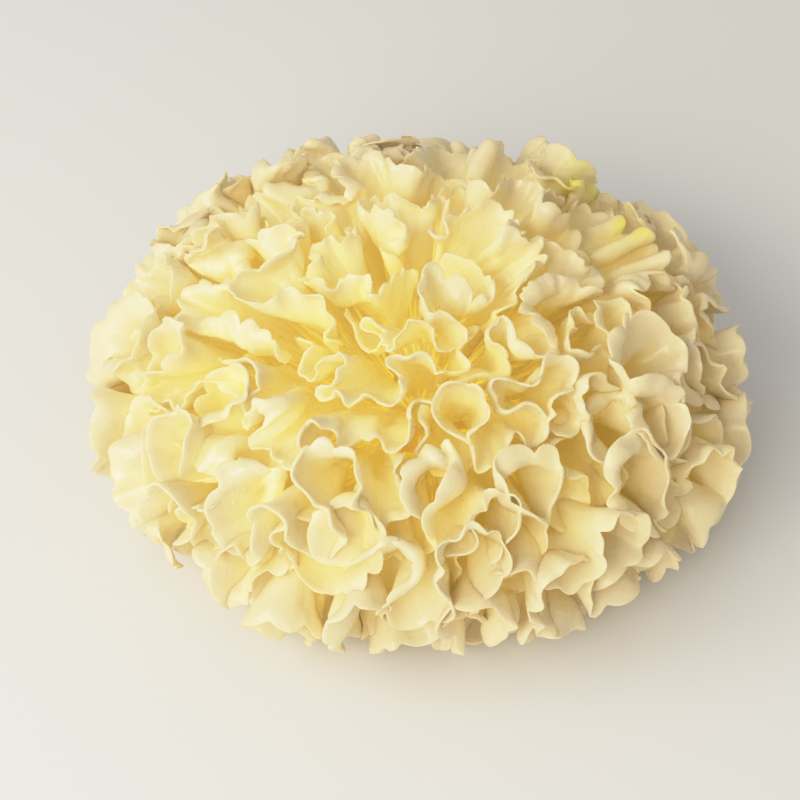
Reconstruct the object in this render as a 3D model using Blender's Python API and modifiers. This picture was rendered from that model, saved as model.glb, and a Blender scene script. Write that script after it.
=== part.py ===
"""Snow fungus: ruffled fronds that grow in rings from a base cut off flat. Metres, +Z up.

The fungus fills a low dome. A place inside the dome has three values. Its level runs from 0 below the
lowest fronds to 1 at the middle of the crown. Its turn is its angle round the upright axis. Along runs from
0 on the base to 1 on the outside of the dome. A frond is a sheet at nearly one level, which sways up and
down between the levels of its neighbours, more and more towards its free edge. All the rings stray a little
from level together.
"""

import math
from collections import namedtuple

import bmesh
import bpy

MM = 0.001

# The base, and the flat face where it was cut from what it grew on
CUT_RADIUS = 26 * MM
BASE_RADIUS = 30 * MM
BASE_SHOULDER = 6 * MM
BASE_RISE = 16 * MM
BASE_ARC_POINTS = 5
BASE_SIDES = 24
LOWEST_ROOT = math.radians(6)

# The dome that the free edges of the fronds reach
DOME_RADIUS = 90 * MM
WIDEST_HEIGHT = 23 * MM
DOME_RISE = 51 * MM
UNDERSIDE_DROP = 36 * MM
LOWEST_TIP = math.radians(-32)
SHOULDER_POWER = 0.82
ARCH = 11 * MM

# A frond's sheet
ROOT_GAP = 0.9 * MM
ROOT_THICKNESS = 2.6 * MM
EDGE_SHARE = 0.6
ROOT_WIDTH_SHARE = 0.62
EDGE_WIDTH_SHARE = 1.05
OVERLAP_TILT = 0.025
SWAY_POWER = 1.5
SIDE_CALM = 0.42
CORNER_ROUNDING = 0.17
LENGTH_SPREAD = 0.035
GOLDEN_ANGLE = math.radians(137.5)
ROWS_ALONG = 3

# The waves by which the rings stray from level, all together: how many go round the fungus, the shift from
# level 0 to 1, where they start, and how high they are. Near the bottom and the top they fade out
STRAY_WAVES = ((3, 5, 0.6, 0.022), (5, -9, 2.2, 0.018))
STRAY_BOTTOM = 0.25
STRAY_TOP = 0.3

# The quick and the slow wave that a ring's sheets sway by. A twist is the wave's shift from level 0 to 1
QUICK_SHARE = 0.68
QUICK_TWIST = 40
SLOW_TWIST = 90

IVORY = (0.93, 0.88, 0.66, 1)
STRAW = (0.86, 0.70, 0.36, 1)

Ring = namedtuple("Ring", "name level fronds sway waves start columns")
RINGS = (
    Ring("skirt_frond", 0.032, 9, 0.044, (19, 11), 0.10, 10),
    Ring("low_frond", 0.180, 9, 0.044, (20, 13), 0.52, 10),
    Ring("outer_frond", 0.305, 9, 0.052, (21, 13), 0.23, 10),
    Ring("shoulder_frond", 0.430, 9, 0.053, (20, 13), 0.71, 10),
    Ring("middle_frond", 0.560, 8, 0.053, (18, 11), 0.35, 10),
    Ring("upper_frond", 0.690, 6, 0.053, (14, 9), 0.05, 9),
    Ring("crown_frond", 0.815, 5, 0.052, (12, 7), 0.60, 8),
    Ring("heart_frond", 0.930, 4, 0.034, (9, 5), 0.20, 7),
)


def clear_scene():
    for obj in list(bpy.data.objects):
        bpy.data.objects.remove(obj, do_unlink=True)


def between(low, high, share):
    return low + (high - low) * share


def make_material(name, colour, roughness):
    material = bpy.data.materials.new(name)
    material.use_nodes = True
    shader = material.node_tree.nodes["Principled BSDF"]
    shader.inputs["Base Color"].default_value = colour
    shader.inputs["Roughness"].default_value = roughness
    shader.inputs["Metallic"].default_value = 0
    return material


def root_place(level):
    """Radius and height of a frond's root, just clear of the base's domed top."""
    angle = between(LOWEST_ROOT, math.pi / 2, level)
    radius = (BASE_RADIUS + ROOT_GAP) * math.cos(angle)
    height = BASE_SHOULDER + (BASE_RISE + ROOT_GAP) * math.sin(angle)
    return radius, height


def tip_place(level):
    """Radius and height of the outside of the dome."""
    angle = between(LOWEST_TIP, math.pi / 2, level)
    radius = DOME_RADIUS * math.cos(angle) ** SHOULDER_POWER
    reach_up = DOME_RISE if angle > 0 else UNDERSIDE_DROP
    return radius, WIDEST_HEIGHT + reach_up * math.sin(angle)


def place_in_dome(level, turn, along):
    """The point with these three values: a curve from root to tip that arches over, turned about Z."""
    root, tip = root_place(level), tip_place(level)
    arch = ARCH * (1 - level) * (1 - (2 * along - 1) ** 2)
    radius = between(root[0], tip[0], along)
    height = between(root[1], tip[1], along) + arch
    return radius * math.cos(turn), radius * math.sin(turn), height


def ring_wave(ring, turn):
    """How far the ring's sheets sway at this turn, from -1 to 1. Neighbours in a ring share the wave."""
    quick_count, slow_count = ring.waves
    quick = math.sin(quick_count * turn + ring.level * QUICK_TWIST)
    slow = math.sin(slow_count * turn + ring.level * SLOW_TWIST)
    return between(slow, quick, QUICK_SHARE)


def ring_stray(level, turn):
    """How far a ring at this level strays up or down at this turn. Neighbouring rings stray alike."""
    stray = sum(height * math.sin(count * turn + twist * level + start)
                for count, twist, start, height in STRAY_WAVES)
    return stray * min(1, level / STRAY_BOTTOM) * min(1, (1 - level) / STRAY_TOP)


def frond_reach(index, ring, across):
    """How far along the dome's depth the free edge comes: round corners, and each frond its own length."""
    length = 1 - LENGTH_SPREAD * (1 - math.sin(GOLDEN_ANGLE * index + math.tau * ring.start))
    return length * (1 - CORNER_ROUNDING * abs(across) ** 3)


def frond_point(ring, index, across, along):
    """A point of a frond's mid sheet. Across runs from -1 to 1 over its width, along from root to edge."""
    reach = along * frond_reach(index, ring, across)
    middle = math.tau * (index + ring.start) / ring.fronds
    half_width = math.pi / ring.fronds * between(ROOT_WIDTH_SHARE, EDGE_WIDTH_SHARE, along)
    turn = middle + half_width * across
    sway = ring.sway * ring_wave(ring, turn) * reach**SWAY_POWER * (1 - SIDE_CALM * across**2)
    stray = ring_stray(ring.level, turn) * reach**SWAY_POWER
    level = ring.level + sway + stray + OVERLAP_TILT * across * along
    return place_in_dome(level, turn, reach)


def build_base(material, parts):
    """The dense foot that every frond grows from: a turned dome with a flat cut under it."""
    mesh = bpy.data.meshes.new("base")
    form = bmesh.new()
    profile = [(0, BASE_SHOULDER + BASE_RISE)]
    for step in range(1, BASE_ARC_POINTS + 1):
        angle = math.pi / 2 * (1 - step / BASE_ARC_POINTS)
        profile.append((BASE_RADIUS * math.cos(angle), BASE_SHOULDER + BASE_RISE * math.sin(angle)))
    profile += [(CUT_RADIUS, 0), (0, 0)]
    points = [form.verts.new((radius, 0, height)) for radius, height in profile]
    for first, second in zip(points, points[1:]):
        form.edges.new((first, second))
    form.to_mesh(mesh)
    form.free()
    base = bpy.data.objects.new("base", mesh)
    mesh.materials.append(material)
    parts.objects.link(base)
    turned = base.modifiers.new("turned about the upright axis", "SCREW")
    turned.steps = turned.render_steps = BASE_SIDES
    turned.use_merge_vertices = True
    turned.merge_threshold = 0.00001


def build_frond(ring, index, material, parts):
    """One frond: a grid bent to its sheet, then thickened, thicker at the root than at the free edge."""
    name = f"{ring.name}_{index + 1:02d}"
    form = bmesh.new()
    bmesh.ops.create_grid(form, x_segments=ring.columns, y_segments=ROWS_ALONG, size=1)
    shares = []
    for vert in form.verts:
        across, along = vert.co.x, (vert.co.y + 1) / 2
        shares.append(between(1, EDGE_SHARE, along))
        vert.co = frond_point(ring, index, across, along)
    mesh = bpy.data.meshes.new(name)
    form.to_mesh(mesh)
    form.free()
    mesh.materials.append(material)
    mesh.shade_smooth()
    frond = bpy.data.objects.new(name, mesh)
    parts.objects.link(frond)
    thickness = frond.vertex_groups.new(name="thickness")
    for number, share in enumerate(shares):
        thickness.add([number], share, "REPLACE")
    sheet = frond.modifiers.new("thickness of the sheet", "SOLIDIFY")
    sheet.thickness = ROOT_THICKNESS
    sheet.offset = 0
    sheet.vertex_group = thickness.name


def main():
    clear_scene()
    parts = bpy.data.collections.new("snow fungus")
    bpy.context.scene.collection.children.link(parts)
    frond_flesh = make_material("frond flesh", IVORY, 0.35)
    base_flesh = make_material("base flesh", STRAW, 0.5)
    build_base(base_flesh, parts)
    for ring in RINGS:
        for index in range(ring.fronds):
            build_frond(ring, index, frond_flesh, parts)


main()
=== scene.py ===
"""Snow fungus: its ruffled fronds, its base and a plain studio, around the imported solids. Metres, +Z up.

Each frond starts as the sheet that its solid has. Its free edge then grows longer than the sheet behind it,
so that it buckles into folds, while all the fronds push each other aside and stay inside the low dome.
"""

import logging
import math
from dataclasses import dataclass, field
from enum import Enum

import bpy
import numpy as np
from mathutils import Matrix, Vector


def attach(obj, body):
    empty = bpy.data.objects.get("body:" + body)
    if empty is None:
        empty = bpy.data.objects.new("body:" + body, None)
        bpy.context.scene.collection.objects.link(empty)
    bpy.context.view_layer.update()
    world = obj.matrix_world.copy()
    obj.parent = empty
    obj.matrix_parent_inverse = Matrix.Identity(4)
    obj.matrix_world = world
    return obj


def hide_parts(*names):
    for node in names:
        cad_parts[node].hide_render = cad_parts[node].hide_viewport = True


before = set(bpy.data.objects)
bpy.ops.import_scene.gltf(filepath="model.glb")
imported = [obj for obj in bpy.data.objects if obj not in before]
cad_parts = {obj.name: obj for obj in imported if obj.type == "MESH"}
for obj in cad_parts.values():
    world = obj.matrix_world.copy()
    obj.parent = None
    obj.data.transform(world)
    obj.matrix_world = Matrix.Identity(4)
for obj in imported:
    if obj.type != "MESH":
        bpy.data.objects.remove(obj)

MM = 0.001
# They keep a division safe, and SMALL also tells the flat cut from what is above it
TINY = 1e-12
SMALL = 1e-9
BODY = "root"
LOG = logging.getLogger("snow_fungus")

Grid = np.ndarray
Colour = tuple[float, float, float, float]
Triple = tuple[float, float, float]
Span = tuple[float, float]


class VertexValue(Enum):
    """The numbers that a finish reads from a piece's vertices, by their attribute's name."""

    DEPTH = "depth"
    FOLD = "fold"
    INNER = "inner"
    RIM = "rim"


VertexValues = dict[VertexValue, Grid]


def ease(low: float, high: float, value: Grid) -> Grid:
    """A smooth step from 0 at low to 1 at high.

    Args:
        low: Where the step starts.
        high: Where the step ends.
        value: The numbers to ease.

    Returns:
        The eased numbers, from 0 to 1.
    """
    share = np.clip((value - low) / (high - low), 0, 1)
    return share * share * (3 - 2 * share)


def spline_weights(share: Grid) -> list[Grid]:
    """The four weights of a uniform cubic B-spline at each share of a span.

    Args:
        share: Where each point lies in its span, from 0 to 1.

    Returns:
        One array of weights for each of the span's four control points.
    """
    rest = 1 - share
    return [
        rest**3 / 6,
        (3 * share**3 - 6 * share**2 + 4) / 6,
        (3 * rest**3 - 6 * rest**2 + 4) / 6,
        share**3 / 6,
    ]


def spline_spans(at: Grid, count: int) -> tuple[Grid, Grid]:
    """Splits places along a row of control points into a span's number and a share of it.

    Args:
        at: Places, where whole numbers are control points.
        count: How many control points the row has.

    Returns:
        The span's number and the share of it, for each place.
    """
    span = np.clip(np.floor(at).astype(int), 0, count - 2)
    return span, at - span


@dataclass(frozen=True)
class Ring:
    """One ring of fronds, by the values that its solids are made from, and how much its margins grow."""

    name: str
    level: float
    fronds: int
    sway: float
    waves: tuple[int, int]
    start: float
    body_growth: float
    margin_growth: float


RINGS = (
    Ring("skirt_frond", 0.032, 9, 0.044, (19, 11), 0.10, 0.35, 0.45),
    Ring("low_frond", 0.180, 9, 0.044, (20, 13), 0.52, 0.42, 0.55),
    Ring("outer_frond", 0.305, 9, 0.052, (21, 13), 0.23, 0.48, 0.65),
    Ring("shoulder_frond", 0.430, 9, 0.053, (20, 13), 0.71, 0.52, 0.75),
    Ring("middle_frond", 0.560, 8, 0.053, (18, 11), 0.35, 0.62, 0.95),
    Ring("upper_frond", 0.690, 6, 0.053, (14, 9), 0.05, 0.80, 1.30),
    Ring("crown_frond", 0.815, 5, 0.052, (12, 7), 0.60, 1.00, 1.70),
    Ring("heart_frond", 0.930, 4, 0.034, (9, 5), 0.20, 1.20, 2.20),
)


@dataclass(frozen=True)
class Dome:
    """The low dome that the fungus fills. A place in it has a level, a turn about the axis, and an along."""

    base_radius: float = 30 * MM
    base_shoulder: float = 6 * MM
    base_rise: float = 16 * MM
    root_gap: float = 0.9 * MM
    lowest_root: float = math.radians(6)
    radius: float = 90 * MM
    widest_height: float = 23 * MM
    rise: float = 51 * MM
    drop: float = 36 * MM
    lowest_tip: float = math.radians(-32)
    shoulder_power: float = 0.82
    arch: float = 11 * MM
    floor_gap: float = 2.8 * MM
    least_across: float = 0.001

    def place(self, level: Grid, turn: Grid, along: Grid) -> Grid:
        """The points with these values, from the base at along 0 to the dome's surface at along 1.

        Args:
            level: From 0 below the lowest fronds to 1 at the middle of the crown.
            turn: Angle about the upright axis.
            along: Share of the way out from the base.

        Returns:
            The points, with X, Y and Z on the last axis.
        """
        root_angle = self.lowest_root + (math.pi / 2 - self.lowest_root) * level
        root_radius = (self.base_radius + self.root_gap) * np.cos(root_angle)
        root_height = self.base_shoulder + (self.base_rise + self.root_gap) * np.sin(root_angle)
        tip_angle = self.lowest_tip + (math.pi / 2 - self.lowest_tip) * level
        tip_radius = self.radius * np.maximum(np.cos(tip_angle), 0) ** self.shoulder_power
        reach_up = np.where(tip_angle > 0, self.rise, self.drop)
        tip_height = self.widest_height + reach_up * np.sin(tip_angle)
        arch = self.arch * (1 - level) * (1 - (2 * along - 1) ** 2)
        radius = root_radius + (tip_radius - root_radius) * along
        height = root_height + (tip_height - root_height) * along + arch
        return np.stack((radius * np.cos(turn), radius * np.sin(turn), height), axis=-1)

    def scaled(self, points: Grid) -> Grid:
        """Points as ways out of the dome's middle, scaled so that its surface becomes a unit sphere.

        Args:
            points: The points.

        Returns:
            One way out for each point, of length 1 on the dome's surface.
        """
        across = np.hypot(points[..., 0], points[..., 1]) / self.radius
        stretch = np.maximum(across, self.least_across) ** (1 / self.shoulder_power - 1) / self.radius
        up = points[..., 2] - self.widest_height
        tall = np.where(up > 0, self.rise, self.drop)
        return np.stack((points[..., 0] * stretch, points[..., 1] * stretch, up / tall), axis=-1)

    def hold(self, points: Grid, reach: Grid) -> None:
        """Moves points back into the dome, in place, and keeps them clear of the floor.

        Args:
            points: The points.
            reach: The share of the dome's size that each may reach.
        """
        over = np.maximum(np.linalg.norm(self.scaled(points), axis=-1) / reach, 1)
        points[..., :2] /= over[..., None]
        up = (points[..., 2] - self.widest_height) / over
        points[..., 2] = np.maximum(self.widest_height + up, self.floor_gap)


@dataclass(frozen=True)
class DomeMap:
    """A flat map of every way out of the dome's middle, whose square cells stand for equal surfaces."""

    dome: Dome
    cells: int = 112
    half_width: float = 2.0
    map_edge: float = 0.999
    lowest: float = 0.05

    def locate(self, points: Grid) -> tuple[Grid, Grid, Grid]:
        """Finds points on the map.

        Args:
            points: The points.

        Returns:
            Their ways out as unit vectors, how far out they are, and their places on the map in cells.
        """
        ways = self.dome.scaled(points)
        out = np.linalg.norm(ways, axis=-1) + TINY
        ways /= out[..., None]
        spread = np.sqrt(2 / np.maximum(1 + ways[..., 2:], self.lowest))
        place = np.clip(ways[..., :2] * spread / self.half_width, -self.map_edge, self.map_edge)
        return ways, out, (place + 1) / 2 * (self.cells - 1)

    @staticmethod
    def blur(grid: Grid, times: int) -> Grid:
        """Blurs a map.

        Args:
            grid: The map's values.
            times: How often each cell is mixed with its neighbours.

        Returns:
            The blurred values.
        """
        for _ in range(times):
            for axis in (0, 1):
                grid = (np.roll(grid, 1, axis) + 2 * grid + np.roll(grid, -1, axis)) / 4
        return grid

    def read(self, grid: Grid, place: Grid) -> Grid:
        """Reads a map between its cells' middles.

        Args:
            grid: The map's values.
            place: Places on the map, in cells.

        Returns:
            The value at each place.
        """
        cell = np.floor(place).astype(int)
        share = place - cell
        column, row = cell[..., 0], cell[..., 1]
        low = grid[column, row] * (1 - share[..., 0]) + grid[column + 1, row] * share[..., 0]
        high = grid[column, row + 1] * (1 - share[..., 0]) + grid[column + 1, row + 1] * share[..., 0]
        return low * (1 - share[..., 1]) + high * share[..., 1]


@dataclass
class FrondSheets:
    """The mid sheets of all the fronds, as grids of points: fronds, rows from root to margin, columns."""

    dome: Dome
    columns: int = 96
    still_rows: int = 3
    growing_rows: int = 17
    still_share: float = 0.28
    length_spread: float = 0.035
    golden_angle: float = math.radians(137.5)
    corner_rounding: float = 0.17
    side_calm: float = 0.42
    sway_power: float = 1.5
    overlap_tilt: float = 0.025
    stray_waves: tuple[tuple[float, ...], ...] = ((3, 5, 0.6, 0.022), (5, -9, 2.2, 0.018))
    stray_bottom: float = 0.25
    stray_top: float = 0.3
    root_width: float = 0.62
    edge_width: float = 1.05
    quick_share: float = 0.68
    quick_twist: float = 40
    slow_twist: float = 90
    along: Grid = field(init=False)
    ring_of: list[Ring] = field(init=False)
    names: list[str] = field(init=False)

    def __post_init__(self) -> None:
        """Lays out the rows, and lists the fronds ring by ring."""
        still = np.linspace(0, self.still_share, self.still_rows, endpoint=False)
        self.along = np.concatenate((still, np.linspace(self.still_share, 1, self.growing_rows)))
        fronds = [(ring, index) for ring in RINGS for index in range(ring.fronds)]
        self.ring_of = [ring for ring, _ in fronds]
        self.names = [f"{ring.name}_{index + 1:02d}" for ring, index in fronds]
        self._index = np.array([index for _, index in fronds])[:, None, None]

    def per_frond(self, pick: str) -> Grid:
        """One field of each frond's ring, shaped to go with the grids."""
        return np.array([getattr(ring, pick) for ring in self.ring_of])[:, None, None]

    def form(self, waviness: float) -> Grid:
        """The mid sheets that the solids have.

        Args:
            waviness: 1 for the solids' own waves, 0 for sheets that lie calm.

        Returns:
            The points of every frond's sheet.
        """
        along = self.along[None, :, None]
        across = np.linspace(-1, 1, self.columns)[None, None, :]
        level, start, fronds = (self.per_frond(pick) for pick in ("level", "start", "fronds"))
        waves = np.array([ring.waves for ring in self.ring_of])
        lift = 1 - np.sin(self.golden_angle * self._index + math.tau * start)
        reach = along * (1 - self.length_spread * lift) * (1 - self.corner_rounding * np.abs(across) ** 3)
        half_width = self.root_width + (self.edge_width - self.root_width) * along
        turn = (math.tau * (self._index + start) + math.pi * half_width * across) / fronds
        quick = np.sin(waves[:, 0, None, None] * turn + level * self.quick_twist)
        slow = np.sin(waves[:, 1, None, None] * turn + level * self.slow_twist)
        wave = slow + (quick - slow) * self.quick_share
        calm = 1 - self.side_calm * across**2
        sway = waviness * self.per_frond("sway") * wave * reach**self.sway_power * calm
        stray = sum(
            height * np.sin(count * turn + twist * level + start)
            for count, twist, start, height in self.stray_waves
        )
        stray = stray * np.minimum(1, level / self.stray_bottom) * np.minimum(1, (1 - level) / self.stray_top)
        lean = sway + stray * reach**self.sway_power + self.overlap_tilt * across * along
        return self.dome.place(level + lean, turn, reach)


@dataclass
class FrondGrowth:
    """Grows the sheets' margins step by step, as thin elastic sheets that push each other aside.

    A pair of numbers is where something starts and where it is full: from root to margin for rows, from the
    lowest ring to the top for levels.
    """

    sheets: FrondSheets
    steps: int = 260
    start_waviness: float = 0.5
    growing_share: float = 0.65
    body_rows: Span = (0.35, 0.85)
    margin_rows: Span = (0.70, 1.0)
    growth_spread: float = 0.30
    growth_cells: int = 10
    frond_spread: float = 0.30
    length_growth: float = 0.08
    length_rows: Span = (0.4, 1.0)
    length_wander: float = 0.11
    wander_rows: Span = (0.5, 0.9)
    length_cells: int = 7
    reach_most: float = 1.015
    reach_least: float = 0.90
    reach_cells: int = 6
    reach_range: Span = (-0.9, 0.6)
    flat_side: float = math.radians(135)
    flat_loss: float = 0.05
    seed_height: float = 1.6 * MM
    seed_cells: int = 20
    seed_rows: Span = (0.5, 1.0)
    shear: float = 0.25
    bend: float = 0.25
    far_bend: float = 0.08
    farther_bend: float = 0.05
    farther_levels: Span = (0.35, 0.65)
    crown_ease: float = 0.75
    crown_levels: Span = (0.45, 0.80)
    momentum: float = 0.8
    pull: float = 0.004
    root_pull: float = 0.25
    root_rows: Span = (0.25, 0.60)
    outer_rows: float = 0.6
    lean: float = 0.32 * MM
    lean_rows: Span = (0.6, 0.95)
    lean_blur: int = 5
    room_rate: float = 0.05
    room_width: int = 9
    room_limits: Span = (0.4, 2.6)
    sag: float = 0.04 * MM
    sag_levels: Span = (0.45, 0.85)
    sag_rows: Span = (0.60, 1.0)
    sag_spread: float = 1.1
    sag_shares: Span = (0.35, 0.65)
    sag_cells: int = 5
    sag_step: float = 0.01
    crowd_power: float = -0.7
    widest_stride: int = 8
    share_of_gap: float = 0.46
    thinnest: float = 0.80 * MM
    thickest: float = 1.15 * MM
    point_gap: float = 1.9 * MM
    slack: float = 0.8 * MM
    search_every: int = 8
    seed: int = 11
    points: Grid = field(init=False)

    def __post_init__(self) -> None:
        """Takes the solids' sheets as the start, and works out the lengths to grow to."""
        self._random = np.random.default_rng(self.seed)
        self._home = self.sheets.form(1.0)
        self.points = self.sheets.form(self.start_waviness)
        self._plan_lengths()
        self._plan_contact()
        self._map = DomeMap(self.sheets.dome)

    def wander(self, cells: int) -> Grid:
        """Smooth noise over the columns, another for each frond.

        Args:
            cells: How many bumps fit across a frond.

        Returns:
            One value for each frond and column.
        """
        knots = self._random.standard_normal((len(self.sheets.names), 1, cells + 3))
        span, share = spline_spans(np.linspace(0, cells, self.sheets.columns), cells + 1)
        return sum(knots[..., span + k] * weight for k, weight in enumerate(spline_weights(share)))

    def _plan_lengths(self) -> None:
        """Sets the lengths of the links between neighbouring points, at the start and when grown."""
        along = self.sheets.along[None, :, None]
        calm = self.sheets.form(0.0)
        body, margin = (self.sheets.per_frond(pick) for pick in ("body_growth", "margin_growth"))
        spread = 1 + self.growth_spread * self.wander(self.growth_cells)
        each = self._random.uniform(-1, 1, (len(self.sheets.names), 1, 1))
        self._spread = spread * (1 + self.frond_spread * each)
        self._gain = body * ease(*self.body_rows, along) + margin * ease(*self.margin_rows, along)
        longer = 1 + self.length_growth * ease(*self.length_rows, along) + self.length_wander * self.wander(
            self.length_cells) * ease(*self.wander_rows, along)
        self._wide = tuple(np.linalg.norm(np.diff(grid, axis=2), axis=-1) for grid in (self._home, calm))
        self._tall = tuple(np.linalg.norm(np.diff(grid, axis=1), axis=-1) for grid in (self._home, calm))
        self._widen()
        self._tall_grown = self._tall[1] * (longer[:, 1:] + longer[:, :-1]) / 2
        self._keep = (self.root_pull * (1 - ease(*self.root_rows, along)) + self.pull)[..., None]
        self._reach = self.reach_least + (self.reach_most - self.reach_least) * ease(
            *self.reach_range, self.wander(self.reach_cells))
        turn = np.arctan2(self._home[:, -1:, :, 1], self._home[:, -1:, :, 0])
        self._reach = self._reach - self.flat_loss * np.maximum(np.cos(turn - self.flat_side), 0) ** 2

    def _widen(self) -> None:
        """Works out the grown lengths across the fronds from how much each stretch of margin grows."""
        growth = 1 + self._gain * self._spread
        self._wide_grown = self._wide[1] * (growth[..., 1:] + growth[..., :-1]) / 2

    def _share_room(self, pairs: tuple[Grid, Grid, Grid]) -> None:
        """Lets margins grow more where few others are near, and less where they are crowded.

        Args:
            pairs: The pairs of points that are near each other.
        """
        near = np.zeros(self.points.shape[:3])
        near.ravel()[self._touching] = np.bincount(np.concatenate(pairs[:2]), minlength=len(self._touching))
        felt = np.zeros(near.shape)
        felt.ravel()[self._touching] = 1
        outer = self.sheets.along > self.outer_rows
        window = np.ones(self.room_width)
        sums = [
            np.stack([np.convolve(row, window, "same") for row in grid[:, outer].sum(axis=1)])
            for grid in (near, felt)
        ]
        crowd = sums[0] / np.maximum(sums[1], 1)
        room = np.clip(1 - crowd / crowd.mean(), -1, 1)[:, None, :]
        self._spread = np.clip(self._spread * (1 + self.room_rate * room), *self.room_limits)
        self._widen()

    def _plan_contact(self) -> None:
        """Chooses the points that push each other aside, evenly spaced, and how near they may come."""
        fronds, rows, columns = self.points.shape[:3]
        spacing = self._wide_grown.mean(axis=2)
        stride = np.clip(np.round(self.point_gap / spacing), 1, self.widest_stride).astype(int)
        growing = np.arange(rows) > self.sheets.still_rows
        on_stride = np.arange(columns)[None, None, :] % stride[:, :, None] == 0
        self._touching = np.flatnonzero((on_stride & growing[None, :, None]).ravel())

        def choose(grid: Grid) -> Grid:
            """The values of a grid at the chosen points."""
            return np.broadcast_to(grid, self.points.shape[:3]).ravel()[self._touching]

        near = np.clip(self.share_of_gap * spacing[:, -1], self.thinnest, self.thickest)
        self._near = choose(near[:, None, None])
        self._frond = choose(np.arange(fronds)[:, None, None])
        self._flat_x = choose(np.pad(np.cumsum(self._wide_grown, axis=2), ((0, 0), (0, 0), (1, 0))))
        self._flat_y = choose(np.pad(np.cumsum(self._tall_grown, axis=1), ((0, 0), (1, 0), (0, 0))))

    @staticmethod
    def _link(first: Grid, second: Grid, length: Grid, stiffness: "float | Grid") -> None:
        """Moves two sets of points, in place, towards the lengths between them.

        Args:
            first: The one set.
            second: The other set.
            length: The length between each two.
            stiffness: The share of the way that they move, 1 for all of it.
        """
        gap = second - first
        now = np.sqrt(np.einsum("...i,...i->...", gap, gap)) + TINY
        gap *= (0.5 * stiffness * (now - length) / now)[..., None]
        first += gap
        second -= gap

    def _stretch(self, points: Grid, wide: Grid, tall: Grid) -> None:
        """Draws neighbours to their lengths, straight and across the corners, which resists shear.

        Args:
            points: The sheets' points, moved in place.
            wide: The lengths between neighbours in a row.
            tall: The lengths between neighbours in a column.
        """
        corner = np.hypot((wide[:, 1:] + wide[:, :-1]) / 2, (tall[..., 1:] + tall[..., :-1]) / 2)
        for k in (0, 1):
            self._link(points[:, :, k:-1:2], points[:, :, k + 1::2], wide[:, :, k::2], 1.0)
            self._link(points[:, k:-1:2], points[:, k + 1::2], tall[:, k::2], 1.0)
        for k in (0, 1):
            low, high, length = points[:, k:-1:2], points[:, k + 1::2], corner[:, k::2]
            self._link(low[:, :, :-1], high[:, :, 1:], length, self.shear)
            self._link(low[:, :, 1:], high[:, :, :-1], length, self.shear)

    def _stiffen(self, points: Grid, wide: Grid, tall: Grid) -> None:
        """Keeps points two, four and eight apart from folding together, which rounds the folds.

        Args:
            points: The sheets' points, moved in place.
            wide: The lengths between neighbours in a row.
            tall: The lengths between neighbours in a column.
        """
        two_wide = wide[..., 1:] + wide[..., :-1]
        four_wide = two_wide[..., 2:] + two_wide[..., :-2]
        eight_wide = four_wide[..., 4:] + four_wide[..., :-4]
        level = self.sheets.per_frond("level")
        far = self.far_bend * (1 - self.crown_ease * ease(*self.crown_levels, level))
        farther = self.farther_bend * (1 - ease(*self.farther_levels, level))
        bends = ((2, two_wide, self.bend), (4, four_wide, far), (8, eight_wide, farther))
        for reach, length, stiffness in bends:
            for k in range(2 * reach):
                second = points[:, :, k + reach::2 * reach]
                first = points[:, :, k::2 * reach][:, :, :second.shape[2]]
                self._link(first, second, length[:, :, k::2 * reach], stiffness)
        two_tall = tall[:, 1:] + tall[:, :-1]
        for k in range(4):
            second = points[:, k + 2::4]
            self._link(points[:, k::4][:, :second.shape[1]], second, two_tall[:, k::4], self.bend)

    def _find_pairs(self, points: Grid) -> tuple[Grid, Grid, Grid]:
        """Finds the pairs of points that are near each other but not near neighbours in one sheet.

        Args:
            points: The points that push each other aside.

        Returns:
            The two numbers of each pair, and how near its points may come.
        """
        cell = np.floor(points / (2 * self._near.max() + self.slack)).astype(np.int64)
        cell -= cell.min(axis=0) - 1
        size = cell.max(axis=0) + 2
        key = (cell[:, 0] * size[1] + cell[:, 1]) * size[2] + cell[:, 2]
        order = np.argsort(key, kind="stable")
        key = key[order]
        at = np.arange(len(key))
        firsts, seconds = [], []
        for over_x, over_y in ((0, 0), (0, 1), (1, -1), (1, 0), (1, 1)):
            shift = (over_x * size[1] + over_y) * size[2]
            high = np.searchsorted(key, key + shift + 1, "right")
            low = at + 1 if shift == 0 else np.searchsorted(key, key + shift - 1, "left")
            count = np.maximum(high - low, 0)
            first = np.repeat(at, count)
            second = np.arange(len(first)) - np.repeat(np.cumsum(count) - count - low, count)
            firsts.append(order[first])
            seconds.append(order[second])
        first, second = np.concatenate(firsts), np.concatenate(seconds)
        gap = points[first] - points[second]
        need = self._near[first] + self._near[second]
        flat_x = self._flat_x[first] - self._flat_x[second]
        flat = np.hypot(flat_x, self._flat_y[first] - self._flat_y[second])
        neighbours = (self._frond[first] == self._frond[second]) & (flat < self.point_gap / MM * need)
        keep = (np.einsum("ij,ij->i", gap, gap) < (need + self.slack) ** 2) & ~neighbours
        return first[keep], second[keep], need[keep]

    def _push_apart(self, points: Grid, pairs: tuple[Grid, Grid, Grid]) -> None:
        """Moves points that have come too near away from each other.

        Args:
            points: The sheets' points, moved in place.
            pairs: The pairs of points that are near each other, and how near each pair may come.
        """
        flat = points.reshape(-1, 3)
        first, second, need = self._touching[pairs[0]], self._touching[pairs[1]], pairs[2]
        gap = flat[first] - flat[second]
        now = np.sqrt(np.einsum("ij,ij->i", gap, gap)) + TINY
        hit = now < need
        first, second = first[hit], second[hit]
        push = gap[hit] * (0.5 * (need[hit] - now[hit]) / now[hit])[:, None]
        total = len(flat)
        count = np.bincount(first, minlength=total) + np.bincount(second, minlength=total)
        share = np.maximum(count, 1) ** self.crowd_power
        for axis in range(3):
            move = np.bincount(first, push[:, axis], total) - np.bincount(second, push[:, axis], total)
            flat[:, axis] += move * share

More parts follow.
